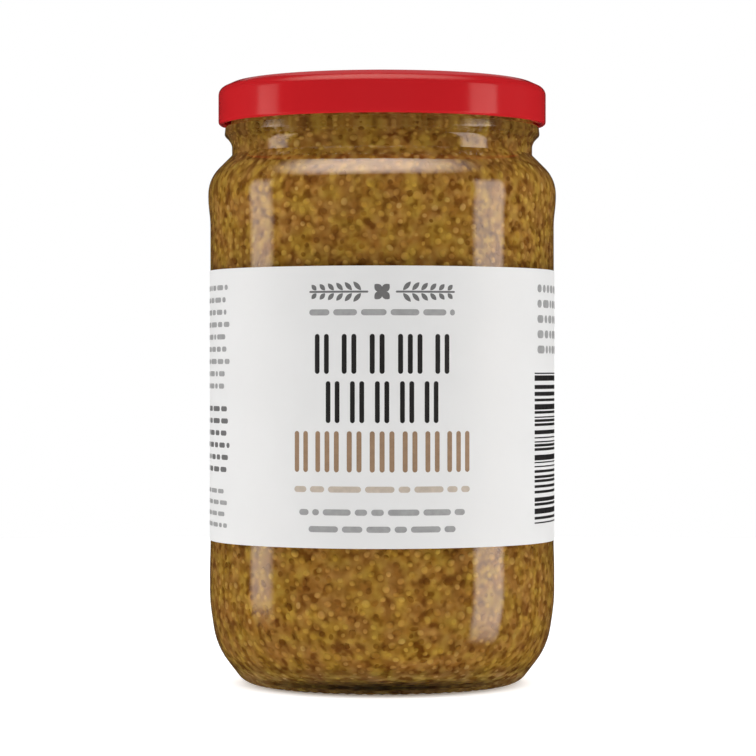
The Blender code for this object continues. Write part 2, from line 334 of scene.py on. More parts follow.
# The stretches share their end points, so doubled ones are dropped
ends = [p for p, q in zip(glass_profile, glass_profile[1:]) if (p - q).length > 0.001 * MM]
glass_profile = [*ends, glass_profile[-1]]
glass_angles = all_round(a for a in seam_angles if 0 <= a <= math.tau)
glass_mesh = turned("jar_glass", glass_profile, glass_angles, glass_relief)

glass, glass_tree, glass_shader = finish(
    "flint glass", (0.965, 0.985, 0.965), 0.0, Transmission_Weight=1.0, IOR=1.52
)
place = node(glass_tree, "ShaderNodeTexCoord").outputs["Object"]
height = node(glass_tree, "ShaderNodeSeparateXYZ", {0: place}).outputs["Z"]
neck_dullness = stretched(glass_tree, height, DULL_FROM, DULL_WHOLLY, 0.0, 0.15)
wear = placed(glass_tree, DRIFT, Scale=35.0, Detail=2.0, From=0.0, To=0.025)
dressed(
    glass_tree, glass_shader, Roughness=reckoned(glass_tree, "ADD", neck_dullness, wear),
    Normal=placed(glass_tree, TOOTH, Scale=90.0, Depth=0.02 * MM),
)
# Light from the lamps and from the room goes straight through, so that it reaches the mustard
ray = node(glass_tree, "ShaderNodeLightPath").outputs
clear = node(glass_tree, "ShaderNodeBsdfTransparent", {"Color": (0.97, 0.98, 0.97, 1.0)}).outputs[0]
for_room = mixed(glass_tree, ray["Is Diffuse Ray"], glass_shader.outputs[0], clear)
for_lamps = mixed(glass_tree, ray["Is Shadow Ray"], for_room, clear)
glass_tree.links.new(for_lamps, glass_tree.nodes["Material Output"].inputs["Surface"])
piece("jar_of_flint_glass", glass_mesh, glass, "flint_glass", "jar_glass")

# The paste: crushed mustard seed in vinegar, pressed flat against the glass by its own weight. It
# fills the jar to just above the foot of the lid, and it is mottled with finely ground husk.

FILL_HEIGHT = 147.8 * MM
FILL_DOME = 0.7 * MM
INTO_WALL = 0.07 * MM  # the fill reaches this far into the glass, so that no air shows between
LUMPS = ((61, 900), (43, -1300))  # how many go round the jar, and radians to a metre up it


def paste_relief(radius, height, outward, angle):
    """Small lumps where the paste meets the glass, always a little way into the wall."""
    lumps = math.prod(np.sin(turns * angle + rise * height) for turns, rise in LUMPS)
    return np.where(height < FILL_HEIGHT - 1.0 * MM, INTO_WALL * (1.0 + 0.5 * lumps), 0.0)


wall_profile = rounded([*INSIDE_WALL, (MOUTH_RADIUS, FILL_HEIGHT)])[::-1]
paste_profile = divided([Vector((0.0, FILL_HEIGHT + FILL_DOME)), *wall_profile], 2.4 * MM)
paste_mesh = turned("paste", paste_profile, all_round(), paste_relief)

BETWEEN_CLOTS = (0.8, 0.79, 0.78)
CLOT_TINTS = [(0.33, (0.36, 0.25, 0.12)), (0.48, BETWEEN_CLOTS), (0.62, (0.9, 0.93, 1.0))]
PATCH_TINTS = [(0.36, (0.94, 0.85, 0.83)), (0.64, (1.0, 1.04, 0.63))]
# Painted light and shade by height: paler at the foot as light coming up through the glass base, darker
# over the heel, lighter up to the shoulder (partly painted light) and darker in the neck as painted shade
# under the lid
PAINTED_LIGHT_BY_HEIGHT = [  # each with its height in mm
    (6.3, (1.7, 2.0, 3.2)), (6.8, (1.02, 1.12, 1.45)), (7.2, (0.9, 0.94, 1.06)), (8.6, (1.08, 1.09, 1.12)),
    (14.0, (1.03, 1.03, 1.03)), (20.0, (1.22, 1.22, 1.22)), (118.0, (1.25, 1.25, 1.25)),
    (128.0, (1.38, 1.38, 1.38)), (136.0, (1.36, 1.36, 1.36)), (139.0, (1.18, 1.18, 1.18)),
    (145.0, (1.0, 1.0, 1.0)),
]
PAINTED_LIGHT_RAMP_TOP = 160  # mm
PASTE_TONES = [(0.36, (0.305, 0.14, 0.024)), (0.66, (0.45, 0.24, 0.059))]


def ramp(tree, source, stops, interpolation="LINEAR"):
    """The colour that runs through these stops, each a position and a colour, as a value goes up."""
    made = node(tree, "ShaderNodeValToRGB", {"Fac": source})
    made.color_ramp.interpolation = interpolation
    colours = made.color_ramp.elements
    for end, (position, colour) in zip(colours, (stops[0], stops[-1])):
        end.position, end.color = position, (*colour, 1.0)
    for position, colour in stops[1:-1]:
        colours.new(position).color = (*colour, 1.0)
    return made.outputs["Color"]


def product(tree, first, second):
    """Two colours or vectors multiplied."""
    return node(tree, "ShaderNodeVectorMath", {0: first, 1: second}, operation="MULTIPLY").outputs[0]


def length_of(tree, vector):
    """How long a vector is."""
    return node(tree, "ShaderNodeVectorMath", {0: vector}, operation="LENGTH").outputs["Value"]


def scaled(tree, colour, scale):
    """A colour or vector multiplied by a value."""
    return node(tree, "ShaderNodeVectorMath", {0: colour, "Scale": scale}, operation="SCALE").outputs[0]


def mottle_and_painted_light_effect():
    """The uneven colour of the mustard, as a tint: dark red-brown clots and patches from tan to olive
    yellow, which are its own colour, with painted light and shade by height: pale at the foot as painted
    light from under it, darker over the heel, lighter up to the shoulder, partly painted light, and darker
    in the neck as painted shade under the lid; and painted shade over the middle of the jar's floor.
    Strength is how far the clots show."""
    group, start, end = effect("mustard mottle and painted light", {"Strength": 1.0}, {"Tint": "NodeSocketColor"})
    place = node(group, "ShaderNodeTexCoord").outputs["Object"]
    cloud = {"Vector": place, "Scale": 430.0, "Detail": 1.0, "Roughness": 0.4}
    cloud = node(group, "ShaderNodeTexNoise", cloud).outputs["Fac"]
    here = placed(group, DRIFT, Scale=70.0, Detail=1.0, From=0.5, To=1.15)
    strength = reckoned(group, "MULTIPLY", start.outputs["Strength"], here)
    clots = {0: strength, 6: (*BETWEEN_CLOTS, 1.0), 7: ramp(group, cloud, CLOT_TINTS)}
    clots = node(group, "ShaderNodeMix", clots, data_type="RGBA").outputs[2]
    hue = {"Vector": place, "Scale": 190.0, "Detail": 1.0}
    hue = node(group, "ShaderNodeTexNoise", hue).outputs["Fac"]
    patches = product(group, clots, ramp(group, hue, PATCH_TINTS))
    height = node(group, "ShaderNodeSeparateXYZ", {0: place}).outputs["Z"]
    share = reckoned(group, "DIVIDE", height, PAINTED_LIGHT_RAMP_TOP * MM)
    painted_height_tint = ramp(group, share, [(level / PAINTED_LIGHT_RAMP_TOP, colour) for level, colour in PAINTED_LIGHT_BY_HEIGHT])
    # Over the raised middle of the jar's floor the mustard is painted darker: painted shade, where little
    # light reaches under the jar
    off_axis = length_of(group, product(group, place, (1.0, 1.0, 0.0)))
    middle = stretched(group, off_axis, 18 * MM, 24 * MM, 0.5, 1.0)
    cloudy = placed(group, DRIFT, Scale=75.0, Detail=1.0, From=0.91, To=1.07)
    shade = reckoned(group, "MULTIPLY", cloudy, middle)
    group.links.new(scaled(group, product(group, patches, painted_height_tint), shade), end.inputs["Tint"])
    return group


MOTTLE_AND_PAINTED_LIGHT = mottle_and_painted_light_effect()


def paste_effect():
    """The colour of the paste: ground husk from dark to light, tinted by the mottle with its painted light
    and shade, with soft grains that show through it.
    """
    group, _, end = effect("mustard paste colour", {}, {"Color": "NodeSocketColor"})
    place = node(group, "ShaderNodeTexCoord").outputs["Object"]
    cloud = {"Vector": place, "Scale": 380.0, "Detail": 1.0, "Roughness": 0.4}
    cloud = node(group, "ShaderNodeTexNoise", cloud).outputs["Fac"]
    # The mottle tint carries painted light and shade by height and over the middle of the jar's floor
    mottled_and_painted_light = product(group, ramp(group, cloud, PASTE_TONES), placed(group, MOTTLE_AND_PAINTED_LIGHT, Strength=0.9))
    grains = {"Vector": place, "Scale": 400.0, "Smoothness": 0.5}
    grains = node(group, "ShaderNodeTexVoronoi", grains, feature="SMOOTH_F1").outputs["Distance"]
    depth = stretched(group, grains, 0.15, 0.6, 1.08, 0.88)
    group.links.new(scaled(group, mottled_and_painted_light, depth), end.inputs["Color"])
    return group


PASTE = paste_effect()
paste, paste_tree, paste_shader = finish(
    "mustard paste", (0.34, 0.155, 0.022), 0.5, Specular_IOR_Level=0.02
)
dressed(
    paste_tree, paste_shader, Base_Color=placed(paste_tree, PASTE),
    Roughness=placed(paste_tree, DRIFT, Scale=300.0, Detail=2.0, From=0.35, To=0.6),
    Normal=placed(paste_tree, TOOTH, Scale=600.0, Depth=0.15 * MM),
)
piece("mustard_paste", paste_mesh, paste, "wholegrain_mustard", "mustard")

# The seeds: whole white and brown mustard seeds, 1.8 to 2.8 mm across, lying close together against
# the glass wherever it shows them, with dark torn bits of husk between. Each kind is one mesh.

LABEL_BOTTOM = 37.3 * MM
LABEL_TOP = 107.4 * MM
OPEN_STRIP = math.radians(45)  # where the label's ends don't meet, at the back
BEHIND_LABEL = 2.0 * MM  # how far seeds go on behind the label's edges
SEEDS_TOP = 147.0 * MM
# Fine paste lies below this height, so the seeds sit lower and none are brown; its paleness is painted
# light from the tints by height, not its own colour
FINE_BELOW = 7.4 * MM  # fine pale paste has settled here
FLOOR_SHARE = 0.5  # fewer seeds are laid on the jar's floor than on its wall
CELL = 2.6 * MM

draw = random.Random(11)
wall = np.array(divided(wall_profile, 0.25 * MM))
wall_out = ways_out([Vector(p) for p in wall])
bands = np.linalg.norm(np.diff(wall, axis=0), axis=1) * (wall[1:, 0] + wall[:-1, 0]) / 2
wall_area = np.cumsum(np.append(0.0, bands))  # how much wall lies before each of its points


def shown(height, angle):
    """Whether the glass shows this place on the wall, or the label or the lid covers it."""
    off_back = abs((angle - math.pi / 2 + math.pi) % math.tau - math.pi)
    bare = not LABEL_BOTTOM + BEHIND_LABEL < height < LABEL_TOP - BEHIND_LABEL
    return height < SEEDS_TOP and (bare or off_back < OPEN_STRIP / 2 + BEHIND_LABEL / BORE_RADIUS)


def wall_place(draw):
    """A random place on the wall that shows, evenly by area: its point and its outward direction."""
    while True:
        row = np.searchsorted(wall_area, draw.random() * wall_area[-1]) - 1
        radius, height = wall[row]
        angle = draw.uniform(0, math.tau)
        if shown(height, angle) and (radius > FOOT_CORNER_RADIUS or draw.random() < FLOOR_SHARE):
            break
    out_radius, out_height = wall_out[row]
    point = Vector((radius * math.cos(angle), radius * math.sin(angle), height))
    return point, Vector((out_radius * math.cos(angle), out_radius * math.sin(angle), out_height))


taken = {}  # the places and radii of what is laid already, by cell


def room_for(point, radius, share):
    """Whether a seed of this radius fits between those already there. share under 1 lets them press."""
    cell = tuple(int(c // CELL) for c in point)
    steps = (-1, 0, 1)
    around = [(cell[0] + i, cell[1] + j, cell[2] + k) for i in steps for j in steps for k in steps]
    for near in around:
        for other, other_radius in taken.get(near, ()):
            if (other - point).length_squared < (share * (radius + other_radius)) ** 2:
                return False
    taken.setdefault(cell, []).append((point, radius))
    return True


KINDS = {  # each kind's share of the draws and its radii
    "gold_seeds": (0.5, (1.0 * MM, 1.4 * MM)),
    "ochre_seeds": (0.36, (1.0 * MM, 1.4 * MM)),
    "tan_seeds": (0.06, (1.0 * MM, 1.35 * MM)),
    "brown_seeds": (0.08, (0.9 * MM, 1.25 * MM)),
}
STANDS = (0.24, 0.4)  # how far a seed stands into the glass, for its radius
THICKNESS = (0.62, 0.8)  # how thick it is for its width
FLAKE_RADII = (1.0 * MM, 1.8 * MM)
FLAKE_THICKNESS = (0.2, 0.3)
FLAKE_STAND = 0.3 * MM
CLUMPS = 300.0  # clumps of brown seeds or of the palest ones to a metre
COVER = 160.0  # patches where paste covers the seeds, and others where they lie clear, to a metre
HUSK_PATCHES = 230.0  # patches where husk gathers to a metre
DRAWS = 40000
PRESSED = 0.9
FLAKES_PRESSED = 0.66
seeds = {kind: [] for kind in [*KINDS, "husk_flakes"]}
for _ in range(DRAWS):
    point, outward = wall_place(draw)
    kind = draw.choices(list(KINDS), [share for share, _ in KINDS.values()])[0]
    clump = noise.noise(point * CLUMPS)
    if clump > 0.32:
        kind = "brown_seeds"
    elif clump < -0.3 and kind == "brown_seeds":
        kind = "tan_seeds"
    if kind == "brown_seeds" and point.z < FINE_BELOW:
        kind = "gold_seeds"
    radius = draw.uniform(*KINDS[kind][1])
    stand = radius * (draw.uniform(*STANDS) + 0.18 * noise.noise(point * COVER))
    if point.z < FINE_BELOW:
        stand *= 0.5
    if room_for(point, radius, PRESSED):
        seeds[kind].append((point, outward, radius, draw.uniform(*THICKNESS), stand))
for _ in range(DRAWS // 3):
    point, outward = wall_place(draw)
    radius = draw.uniform(*FLAKE_RADII)
    gathered = noise.noise(point * HUSK_PATCHES) > 0.0 and point.z > FINE_BELOW
    if gathered and room_for(point, radius, FLAKES_PRESSED):
        seeds["husk_flakes"].append((point, outward, radius, draw.uniform(*FLAKE_THICKNESS), FLAKE_STAND))


def grain(ways, rings):
    """A closed ball of radius 1 with its finer end up: the corners and faces of its rings."""
    corners = [(0.0, 0.0, 1.0)]
    for row, tilt in enumerate(rings):
        for step in range(ways):
            turn = math.tau * (step + row / 2) / ways
            radius = math.sin(tilt)
            corners.append((radius * math.cos(turn), radius * math.sin(turn), math.cos(tilt)))
    corners.append((0.0, 0.0, -1.0))
    faces = []
    for step in range(ways):
        after = (step + 1) % ways
        faces.append((0, 1 + step, 1 + after))
        for row in range(len(rings) - 1):
            here, below = 1 + row * ways, 1 + (row + 1) * ways
            faces.append((here + step, below + step, here + after))
            faces.append((below + step, below + after, here + after))
        last = 1 + (len(rings) - 1) * ways
        faces.append((last + step, len(corners) - 1, last + after))
    return np.array(corners), np.array(faces)


def scattered(name, template, grains, draw, narrowest=0.84, torn=0.0):
    """One mesh of many small closed pieces, each turned, squashed and toned on its own, down to the
    narrowest width and with its outline torn by this share. It keeps each piece's tone, and how deep
    each point is sunk in the paste: from 0 at the glass to 1 at the paste."""
    shape, faces = template
    corners = np.empty((len(grains), len(shape), 3))
    sunk = np.empty((len(grains), len(shape)))
    for row, (point, outward, radius, thick, stand) in enumerate(grains):
        lean, waist = np.array([[draw.gauss(0, 1) for _ in range(3)] for _ in range(2)])
        lean, waist = lean / np.linalg.norm(lean), waist / np.linalg.norm(waist)
        uneven = 1 + 0.1 * shape @ lean - 0.16 * (shape @ waist) ** 2
        uneven = uneven + torn * np.array([draw.uniform(-1, 1) for _ in shape])
        spin = Matrix.Rotation(draw.uniform(0, math.tau), 3, "Z")
        spin = spin @ Matrix.Rotation(draw.gauss(0, 0.15), 3, "X")
        turn = outward.to_track_quat("Z", "Y").to_matrix() @ spin
        squash = Matrix.Diagonal((1.0, draw.uniform(narrowest, 1.0), thick))
        around = (shape * uneven[:, None]) @ (np.array(turn @ squash).T * radius)
        height = around @ np.array(outward)
        corners[row] = np.array(point) + around + np.array(outward) * (stand - height.max())
        sunk[row] = np.clip((height.max() - height) / stand, 0, 1)
    step = len(shape) * np.arange(len(grains))[:, None, None]
    mesh = bpy.data.meshes.new(name)
    mesh.from_pydata(corners.reshape(-1, 3).tolist(), [], (faces[None] + step).reshape(-1, 3).tolist())
    tones = np.repeat([draw.random() for _ in grains], len(shape))
    for kept, values in (("tone", tones), ("sunk", sunk.reshape(-1))):
        mesh.attributes.new(kept, "FLOAT", "POINT").data.foreach_set("value", values.astype(np.float32))
    mesh.shade_smooth()
    return mesh


def seed_material(name, tones):
    """A seed's skin: its own tone from dark to light, some of the mottle of the paste round it with its
    painted light and shade, small spots and a fine tooth. Towards its sunk edge the paste covers it."""
    skin, tree, shader = finish(name, tones[1], 0.5, Specular_IOR_Level=0.02)
    tone = node(tree, "ShaderNodeAttribute", attribute_name="tone").outputs["Fac"]
    own = ramp(tree, tone, list(zip((0.0, 0.5, 1.0), tones)))
    spots = placed(tree, DRIFT, Scale=600.0, Detail=1.0, From=0.94, To=1.03)
    stained_and_painted_light = scaled(tree, product(tree, own, placed(tree, MOTTLE_AND_PAINTED_LIGHT, Strength=0.6)), spots)
    sunk = node(tree, "ShaderNodeAttribute", attribute_name="sunk").outputs["Fac"]
    covered = stretched(tree, sunk, 0.22, 1.0, interpolation_type="SMOOTHSTEP")
    colour = {0: covered, 6: stained_and_painted_light, 7: placed(tree, PASTE)}
    dressed(
        tree, shader, Base_Color=node(tree, "ShaderNodeMix", colour, data_type="RGBA").outputs[2],
        Roughness=placed(tree, DRIFT, Scale=600.0, Detail=1.0, From=0.4, To=0.6),
        Normal=placed(tree, TOOTH, Scale=1800.0, Depth=0.05 * MM),
    )
    return skin


SEED_TONES = {
    "gold_seeds": [(0.465, 0.255, 0.057), (0.495, 0.278, 0.067), (0.525, 0.302, 0.077)],
    "ochre_seeds": [(0.43, 0.22, 0.043), (0.46, 0.243, 0.053), (0.49, 0.267, 0.063)],
    "tan_seeds": [(0.485, 0.287, 0.078), (0.515, 0.31, 0.089), (0.545, 0.333, 0.1)],
    "brown_seeds": [(0.2, 0.082, 0.012), (0.27, 0.12, 0.02), (0.34, 0.16, 0.03)],
    "husk_flakes": [(0.19, 0.076, 0.01), (0.27, 0.116, 0.018), (0.34, 0.16, 0.03)],
}
SEED_SHAPE = grain(12, [math.radians(tilt) for tilt in (24, 48, 72, 98)])
FLAKE_SHAPE = grain(7, [math.radians(tilt) for tilt in (45, 90)])
for kind, grains in seeds.items():
    if kind == "husk_flakes":
        mesh = scattered(kind, FLAKE_SHAPE, grains, draw, narrowest=0.55, torn=0.25)
    else:
        mesh = scattered(kind, SEED_SHAPE, grains, draw)
    skin = seed_material(kind.replace("_", " "), SEED_TONES[kind])
    piece("mustard_" + kind, mesh, skin, "wholegrain_mustard", "mustard")

# The lid: thin tinplate pressed into a shallow cup, lacquered red, with a raised ring over the
# rim, a vacuum button in its middle, and a rolled hem that six lugs are pressed in from.

LID_RADIUS = 42.8 * MM
LID_TOP = 156.5 * MM
LID_BOTTOM = 145.5 * MM
LID_BEVEL_RADIUS = 38.9 * MM  # the top slopes down from here to the skirt
LID_BEVEL_DROP = 1.75 * MM
HEM_RADIUS = 0.8 * MM
PANEL_RING_RADIUS = 35.2 * MM
PANEL_DROP = 0.8 * MM
BUTTON_RADIUS = 13.0 * MM
BUTTON_DROP = 0.45 * MM
STEP_RUN = 1.3 * MM
SHEET_THICKNESS = 0.24 * MM
LUGS = 6
LUG_REACH = 1.0 * MM
LUG_SPAN = math.radians(14)
LUG_FADE = math.radians(2.5)
LID_RED = (0.605, 0.0155, 0.02)

panel_height = LID_TOP - PANEL_DROP
lid_face = rounded([
    (0.0, panel_height - BUTTON_DROP),
    (BUTTON_RADIUS - STEP_RUN, panel_height - BUTTON_DROP, 1.2 * MM),
    (BUTTON_RADIUS, panel_height, 1.2 * MM),
    (PANEL_RING_RADIUS - STEP_RUN, panel_height, 0.8 * MM),
    (PANEL_RING_RADIUS, LID_TOP, 0.8 * MM),
    (LID_BEVEL_RADIUS, LID_TOP, 3.0 * MM),
    (LID_RADIUS, LID_TOP - LID_BEVEL_DROP, 2.4 * MM),
    (LID_RADIUS, LID_BOTTOM + HEM_RADIUS),
])
hem_centre = Vector((LID_RADIUS - HEM_RADIUS, LID_BOTTOM + HEM_RADIUS))
lid_face += [
    hem_centre + Matrix.Rotation(math.radians(-angle), 2).inverted() @ Vector((HEM_RADIUS, 0.0))
    for angle in range(-12, -301, -12)
]
lid_face = divided(lid_face, 3.0 * MM)
lid_back = [p - Vector(o) * SHEET_THICKNESS for p, o in zip(lid_face, ways_out(lid_face).tolist())]
lid_back[0].x = 0.0
lid_profile = lid_face + lid_back[::-1]


def lid_grid(points, angles):
    """The lid's surface, with its hem pressed in towards the jar at each lug."""
    places = np.array(points)
    radius = places[:, 0][:, None] + 0 * angles[None, :]
    height = places[:, 1][:, None] + 0 * angles[None, :]
    pitch = math.tau / LUGS
    start = np.mod(angles + pitch / 4 + pitch / 2, pitch) - pitch / 2
    press = np.clip((LUG_SPAN / 2 - np.abs(start)) / LUG_FADE, 0, 1)
    press = press * press * (3 - 2 * press)
    in_hem = (height < LID_BOTTOM + 2.4 * HEM_RADIUS) & (radius > LID_RADIUS - 3 * HEM_RADIUS)
    inner = np.clip((LID_RADIUS - 0.3 * MM - radius) / (1.2 * HEM_RADIUS), 0, 1)
    radius = radius - in_hem * inner * press[None, :] * LUG_REACH
    return np.stack([radius * np.cos(angles), radius * np.sin(angles), height], axis=2)


lid_mesh = grid_mesh("lid", lid_grid(lid_profile, all_round()))
red_lacquer, lid_tree, lid_shader = finish(
    "red lacquer on tinplate", LID_RED, 0.12, Specular_IOR_Level=0.16
)
fade = placed(lid_tree, DRIFT, Scale=25.0, Detail=2.0, From=0.95, To=1.03)
dressed(
    lid_tree, lid_shader, Base_Color=scaled(lid_tree, LID_RED, fade),
    Roughness=placed(lid_tree, DRIFT, Scale=60.0, Detail=3.0, From=0.09, To=0.15),
    Normal=placed(lid_tree, TOOTH, Scale=400.0, Depth=0.01 * MM),
)
piece("twist_off_lid", lid_mesh, red_lacquer, "lacquered_tinplate", "lid")

# The label: one strip of white coated paper, glued round the jar's panel, with its ends left
# apart at the back. The paper has a fine tooth and a soft sheen.

PAPER_INSIDE = PANEL_RADIUS + 0.03 * MM
PAPER_OUTSIDE = PAPER_INSIDE + 0.13 * MM
PAPER_EDGE = 0.05 * MM  # its cut edges are this soft
LABEL_WAYS = 316
PAPER_WHITE = (0.83, 0.83, 0.825)

paper_section = [
    Vector((PAPER_INSIDE, LABEL_TOP)),
    Vector((PAPER_OUTSIDE - PAPER_EDGE, LABEL_TOP)),
    Vector((PAPER_OUTSIDE, LABEL_TOP - PAPER_EDGE)),
    Vector((PAPER_OUTSIDE, LABEL_BOTTOM + PAPER_EDGE)),
    Vector((PAPER_OUTSIDE - PAPER_EDGE, LABEL_BOTTOM)),
    Vector((PAPER_INSIDE, LABEL_BOTTOM)),
    Vector((PAPER_INSIDE, LABEL_TOP)),
]
back = math.pi / 2
label_angles = np.linspace(back + OPEN_STRIP / 2, back + math.tau - OPEN_STRIP / 2, LABEL_WAYS)
section = np.array(divided(paper_section, 5.0 * MM))
radius, height = section[:, 0][:, None], section[:, 1][:, None] + 0 * label_angles
paper_grid = np.stack([radius * np.cos(label_angles), radius * np.sin(label_angles), height], axis=2)
label_mesh = grid_mesh("label", paper_grid, 25)
# Its two ends are closed, so that it is one solid strip
closer = bmesh.new()
closer.from_mesh(label_mesh)
bmesh.ops.holes_fill(closer, edges=[e for e in closer.edges if e.is_boundary], sides=0)
bmesh.ops.recalc_face_normals(closer, faces=closer.faces)
closer.to_mesh(label_mesh)
closer.free()

label_paper, paper_tree, paper_shader = finish(
    "coated label paper", PAPER_WHITE, 0.6, Specular_IOR_Level=0.3
)
paper_fade = placed(paper_tree, DRIFT, Scale=60.0, Detail=4.0, From=0.985, To=1.01)
dressed(
    paper_tree, paper_shader, Base_Color=scaled(paper_tree, PAPER_WHITE, paper_fade),
    Roughness=placed(paper_tree, DRIFT, Scale=120.0, Detail=3.0, From=0.52, To=0.68),
    Normal=placed(paper_tree, TOOTH, Scale=1500.0, Depth=0.02 * MM),
)
piece("paper_label", label_mesh, label_paper, "label_paper", "label")

# The print on the label: flat inks on the paper, laid out as a front panel with two narrow text
# columns further round. Plain strokes, bars and a sprig stand for its words.

INK_RADIUS = PAPER_OUTSIDE + 0.012 * MM
INK_THICKNESS = 0.03 * MM
COLUMN = 1.5 * MM  # flat shapes are cut at this spacing before they are bent round the jar
inks = {"black_ink": [], "grey_ink": [], "light_grey_ink": [], "tan_ink": [], "pale_tan_ink": []}


def bar(left, bottom, width, height, rounding):
    """The outline of a bar with rounded corners, in mm round the jar from its front and up its side."""
    rounding = min(rounding, width / 2 - 1e-3, height / 2 - 1e-3)
    outline = []
    for turn, (x, y) in enumerate(((1, 1), (0, 1), (0, 0), (1, 0))):
        cx = left + rounding + x * (width - 2 * rounding)
        cy = bottom + rounding + y * (height - 2 * rounding)
        for step in range(5):
            angle = math.radians(90 * turn + 22.5 * step)
            outline.append((cx + rounding * math.cos(angle), cy + rounding * math.sin(angle)))
    return outline


def leaf(x, y, length, width, tilt):
    """The outline of a pointed oval, its foot at x, y and leaning by tilt from upright."""
    outline = []
    for side in (1, -1):
        for step in range(8):
            along = step / 8 if side == 1 else 1 - step / 8
            across = side * width / 2 * math.sin(math.pi * along) ** 0.8
            outline.append((
                x + length * along * math.sin(tilt) + across * math.cos(tilt),
                y + length * along * math.cos(tilt) - across * math.sin(tilt),
            ))
    return outline


def strokes(ink, bottom, width, height, groups, thick, draw):
    """A row of tall round-ended strokes in groups, centred on the front of the label."""
    counts = [draw.choice((2, 2, 3)) for _ in range(groups)]
    gap = 0.95 * thick
    space = (width - sum(counts) * thick - sum(c - 1 for c in counts) * gap) / (groups - 1)
    along = -width / 2
    for count in counts:
        for _ in range(count):
            inks[ink].append(bar(along, bottom, thick, height, thick / 2))
            along += thick + gap
        along += space - gap


def words(ink, left, bottom, width, height, draw, longest=6.0):
    """A line of small text as bars of word length, from left to right."""
    along = left
    while along < left + width - 1.2:
        length = min(draw.uniform(1.8, longest), left + width - along)
        inks[ink].append(bar(along, bottom, length, height, height / 2))
        along += length + 1.0


layout = random.Random(5)
# A sprig with a four-petalled flower in its middle heads the panel
for side in (-1, 1):
    inks["grey_ink"].append(bar(side * 11.0 - 7.6, 100.7, 15.2, 0.5, 0.25))
    for step in range(6):
        foot = side * (5.2 + 2.3 * step)
        for up in (1, -1):
            lean = math.radians(90 * side - 48 * up * side)
            inks["grey_ink"].append(leaf(foot, 100.95 + 0.35 * up, 2.9 - 0.2 * step, 1.15, lean))
for quarter in range(4):
    inks["grey_ink"].append(leaf(0.0, 100.95, 2.6, 1.9, math.radians(45 + 90 * quarter)))
words("light_grey_ink", -18.6, 95.1, 37.2, 1.5, layout, 7.5)
strokes("black_ink", 80.6, 34.2, 9.9, 5, 1.25, layout)
strokes("black_ink", 68.4, 28.4, 10.4, 5, 1.2, layout)
strokes("tan_ink", 56.2, 45.4, 10.2, 7, 1.25, layout)
words("pale_tan_ink", -22.8, 51.2, 45.6, 1.5, layout, 9.0)
words("light_grey_ink", -21.4, 45.5, 42.8, 1.5, layout, 8.0)
words("light_grey_ink", -18.8, 41.3, 37.6, 1.5, layout, 8.0)

# The columns of small print further round, and a stack of bars in the one on the right
SIDE_PANEL = 46.8  # mm round from the front to where these columns begin
for row in range(9):
    words("light_grey_ink", -SIDE_PANEL - 44.0, 102.0 - 3.15 * row, 44.0 - 0.9 * (row % 3), 1.3, layout)
for row in range(6):
    words("grey_ink", -SIDE_PANEL - 44.0, 71.0 - 3.1 * row, 44.0 - 0.9 * (row % 3), 1.3, layout)
for row in range(4):
    words("light_grey_ink", -SIDE_PANEL - 44.0, 50.0 - 2.9 * row, 42.5, 1.1, layout)
for row in range(5):
    words("light_grey_ink", SIDE_PANEL + 1.6, 101.4 - 3.9 * row, 40.0, 2.0, layout, 5.0)
up = 42.4
while up < 80.6:
    thick = layout.choice((0.35, 0.35, 0.7, 0.7, 1.05, 1.4))
    inks["black_ink"].append(bar(SIDE_PANEL, up, 21.0, thick, 0.04))
    up += thick + layout.choice((0.35, 0.35, 0.7, 0.7, 1.05))
for row in range(10):
    words("light_grey_ink", SIDE_PANEL + 24.0, 78.6 - 3.6 * row, 20.0, 1.3, layout)

INK_COLOURS = {
    "black_ink": (0.012, 0.012, 0.013),
    "grey_ink": (0.16, 0.16, 0.16),
    "light_grey_ink": (0.36, 0.36, 0.36),
    "tan_ink": (0.33, 0.21, 0.125),
    "pale_tan_ink": (0.55, 0.47, 0.39),
}
for ink, outlines in inks.items():
    flat = bmesh.new()
    for outline in outlines:
        flat.faces.new([flat.verts.new((u * MM, 0.0, v * MM)) for u, v in reversed(outline)])
    widest = max(abs(v.co.x) for v in flat.verts)
    for cut in range(-int(widest / COLUMN), int(widest / COLUMN) + 1):
        everything = [*flat.verts, *flat.edges, *flat.faces]
        bmesh.ops.bisect_plane(flat, geom=everything, plane_co=(cut * COLUMN, 0, 0), plane_no=(1, 0, 0))
    bmesh.ops.dissolve_degenerate(flat, dist=0.001 * MM, edges=flat.edges)
    for vert in flat.verts:
        round_jar = vert.co.x / INK_RADIUS
        vert.co = (INK_RADIUS * math.sin(round_jar), -INK_RADIUS * math.cos(round_jar), vert.co.z)
    bmesh.ops.recalc_face_normals(flat, faces=flat.faces)
    facing_out = [face.normal.dot(Vector((*face.verts[0].co.xy, 0))) > 0 for face in flat.faces]
    if 2 * sum(facing_out) < len(facing_out):
        bmesh.ops.reverse_faces(flat, faces=flat.faces)
    ink_mesh = bpy.data.meshes.new(ink)
    flat.to_mesh(ink_mesh)
    flat.free()
    pigment, ink_tree, ink_shader = finish(
        ink.replace("_", " "), INK_COLOURS[ink], 0.5, Specular_IOR_Level=0.3
    )
    cover = placed(ink_tree, DRIFT, Scale=700.0, Detail=3.0, From=0.92, To=1.1)
    dressed(
        ink_tree, ink_shader, Base_Color=scaled(ink_tree, INK_COLOURS[ink], cover),
        Roughness=placed(ink_tree, DRIFT, Scale=500.0, Detail=2.0, From=0.42, To=0.58),
    )
    printed = piece("label_" + ink, ink_mesh, pigment, "label_paper")
    film = printed.modifiers.new("film", "SOLIDIFY")
    film.thickness = INK_THICKNESS
    film.offset = -1.0

